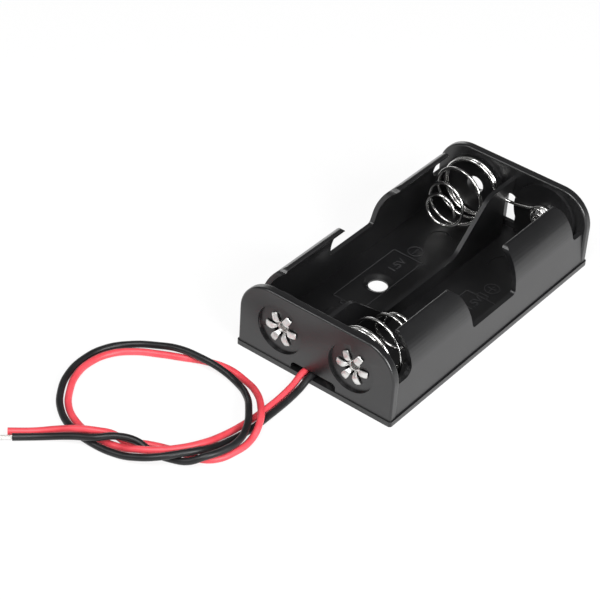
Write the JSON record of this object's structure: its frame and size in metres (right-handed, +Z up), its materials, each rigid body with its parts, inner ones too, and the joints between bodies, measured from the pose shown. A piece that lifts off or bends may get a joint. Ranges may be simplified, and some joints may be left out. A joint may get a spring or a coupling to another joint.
{
  "type": "cylindrical cell holder",
  "caption": "Open moulded holder for two round cells side by side, with conical springs, a flat button contact, hollow rivets and two flying leads",
  "frame": {"origin": "middle of the housing's underside", "axes": "X across the two cells, Y along them with the leads leaving at -Y, Z up"},
  "size_m": [0.048, 0.1025, 0.0142],
  "materials": {
    "housing": "satin moulded black",
    "rivet": "bright nickel plate",
    "spring_wire": "bright nickel-plated spring wire",
    "red_insulation": "smooth red PVC",
    "black_insulation": "smooth black PVC",
    "conductor": "tinned strands"
  },
  "bodies": {
    "root": {"housing": "housing", "positive_rivet": "rivet", "negative_rivet": "rivet", "near_spring": "spring_wire", "far_contact_wire": "spring_wire", "red_lead": "red_insulation", "black_lead": "black_insulation", "red_conductor": "conductor", "black_conductor": "conductor"}
  },
  "joints": []
}
